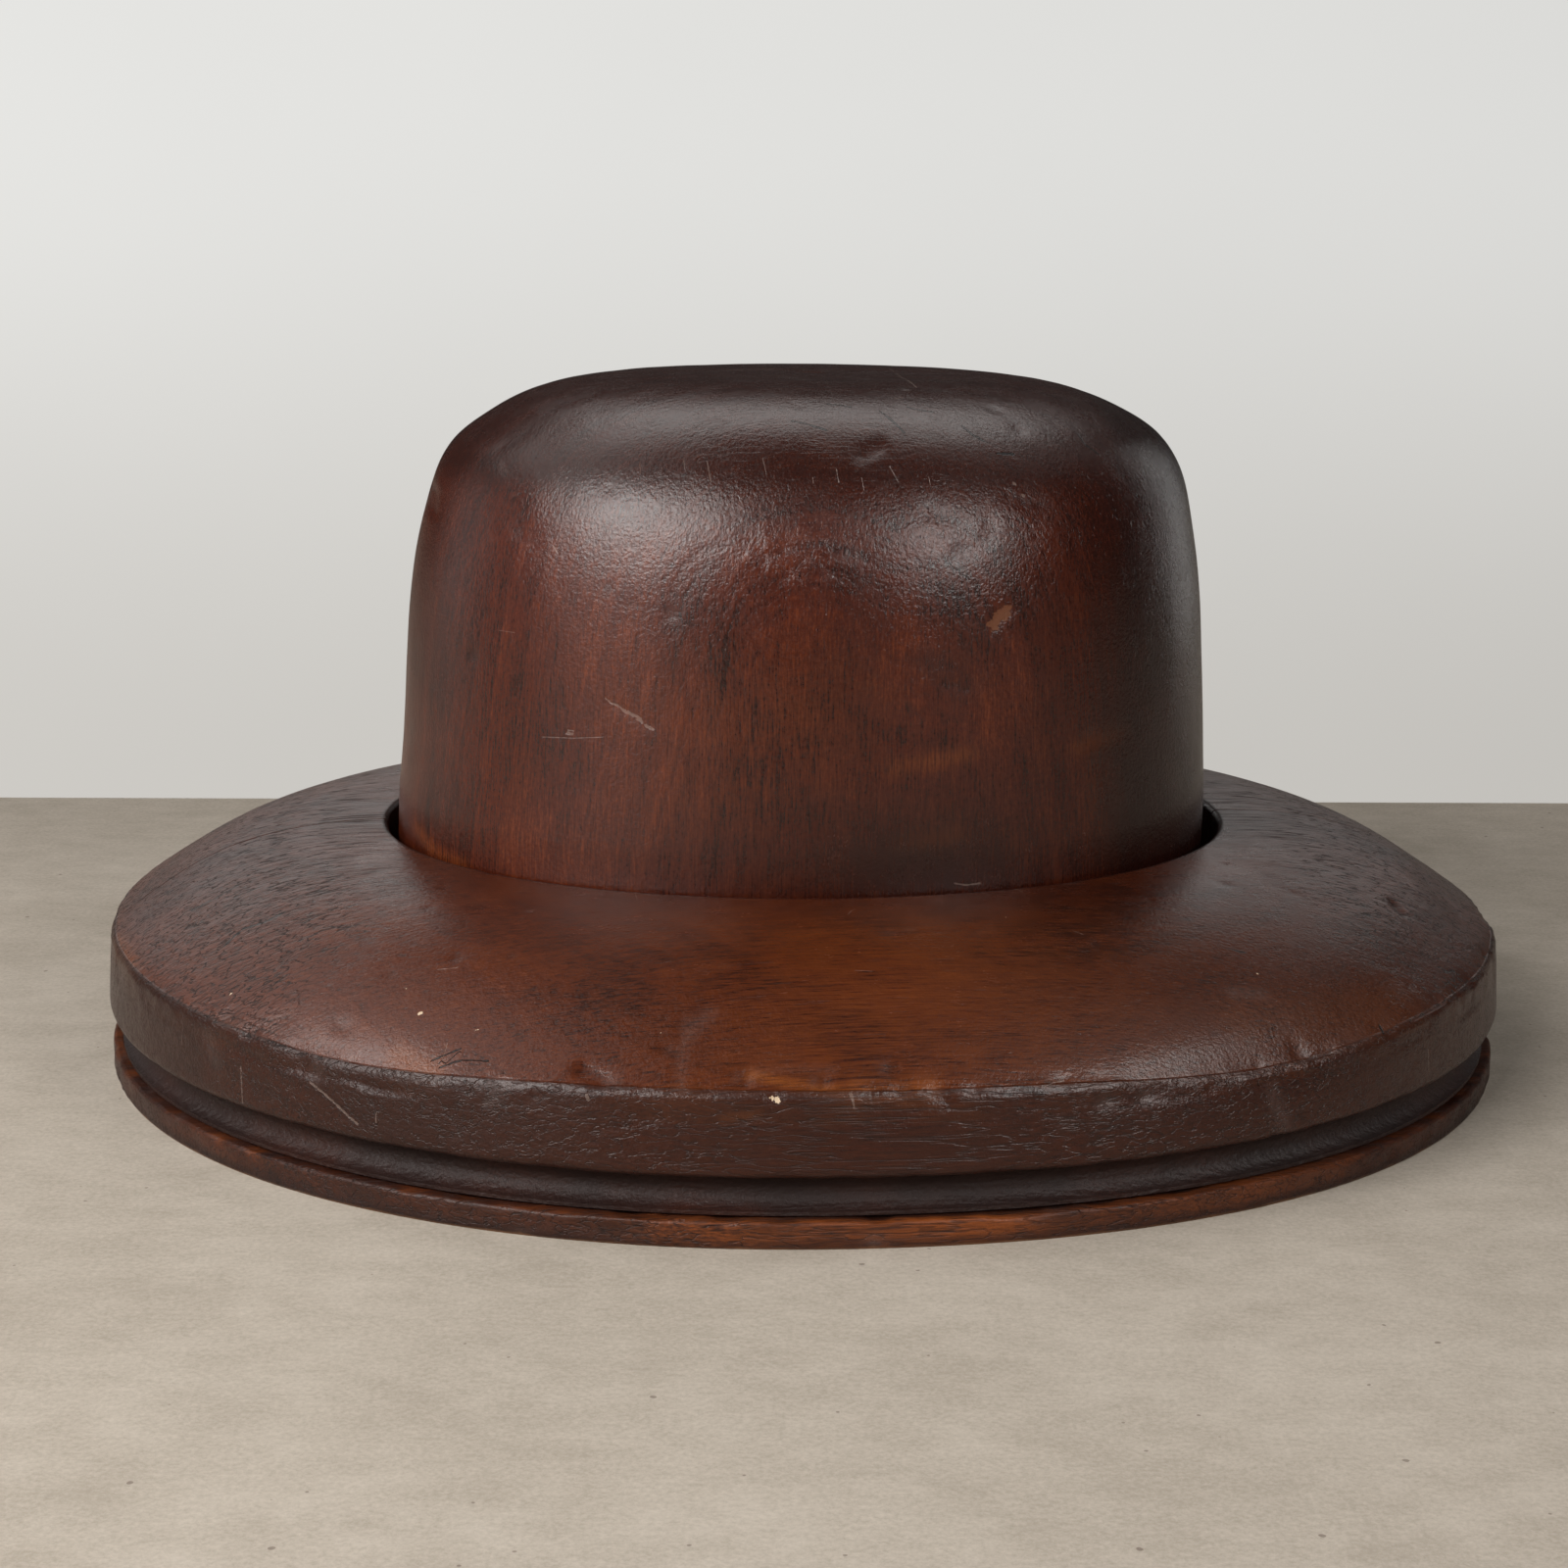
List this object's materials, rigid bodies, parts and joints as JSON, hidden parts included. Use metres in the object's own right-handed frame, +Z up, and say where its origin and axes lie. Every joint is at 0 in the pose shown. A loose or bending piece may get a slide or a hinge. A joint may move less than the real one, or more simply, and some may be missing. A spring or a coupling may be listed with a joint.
{
  "type": "hat block",
  "caption": "Two-piece wooden hat block: a tall oval crown that lifts out of a domed oval brim block with a cord groove round its edge.",
  "frame": {"origin": "on the surface the block stands on, under the middle of its outline", "axes": "+Z up, the way the crown lifts out; +X along the long axis of the oval; -Y towards the side that the picture shows"},
  "size_m": [0.3474, 0.3186, 0.1666],
  "materials": {
    "crown_wood": "dark red-brown waxed hardwood, satin, upright grain",
    "brim_front_wood": "red-brown waxed hardwood, satin, grain along the brim",
    "brim_rear_wood": "red-brown waxed hardwood, satin, grain along the brim",
    "base_wood": "worn red-brown hardwood, edge rubbed to orange",
    "dowel_wood": "plain unfinished hardwood pin",
    "screw_steel": "aged steel, dulled"
  },
  "bodies": {
    "brim": {"brim_front_board": "brim_front_wood", "brim_rear_board": "brim_rear_wood", "base_board": "base_wood", "left_outer_dowel": "dowel_wood", "left_inner_dowel": "dowel_wood", "right_outer_dowel": "dowel_wood", "right_inner_dowel": "dowel_wood", "base_screw_1": "screw_steel", "base_screw_2": "screw_steel", "base_screw_3": "screw_steel", "base_screw_4": "screw_steel", "base_screw_5": "screw_steel", "base_screw_6": "screw_steel", "base_screw_7": "screw_steel", "base_screw_8": "screw_steel"},
    "crown": {"crown_block": "crown_wood"}
  },
  "joints": [
    {"name": "crown_lift", "type": "slide", "parent": "brim", "child": "crown", "axis": [0, 0, 1], "range_m": [0, 0.09]}
  ]
}
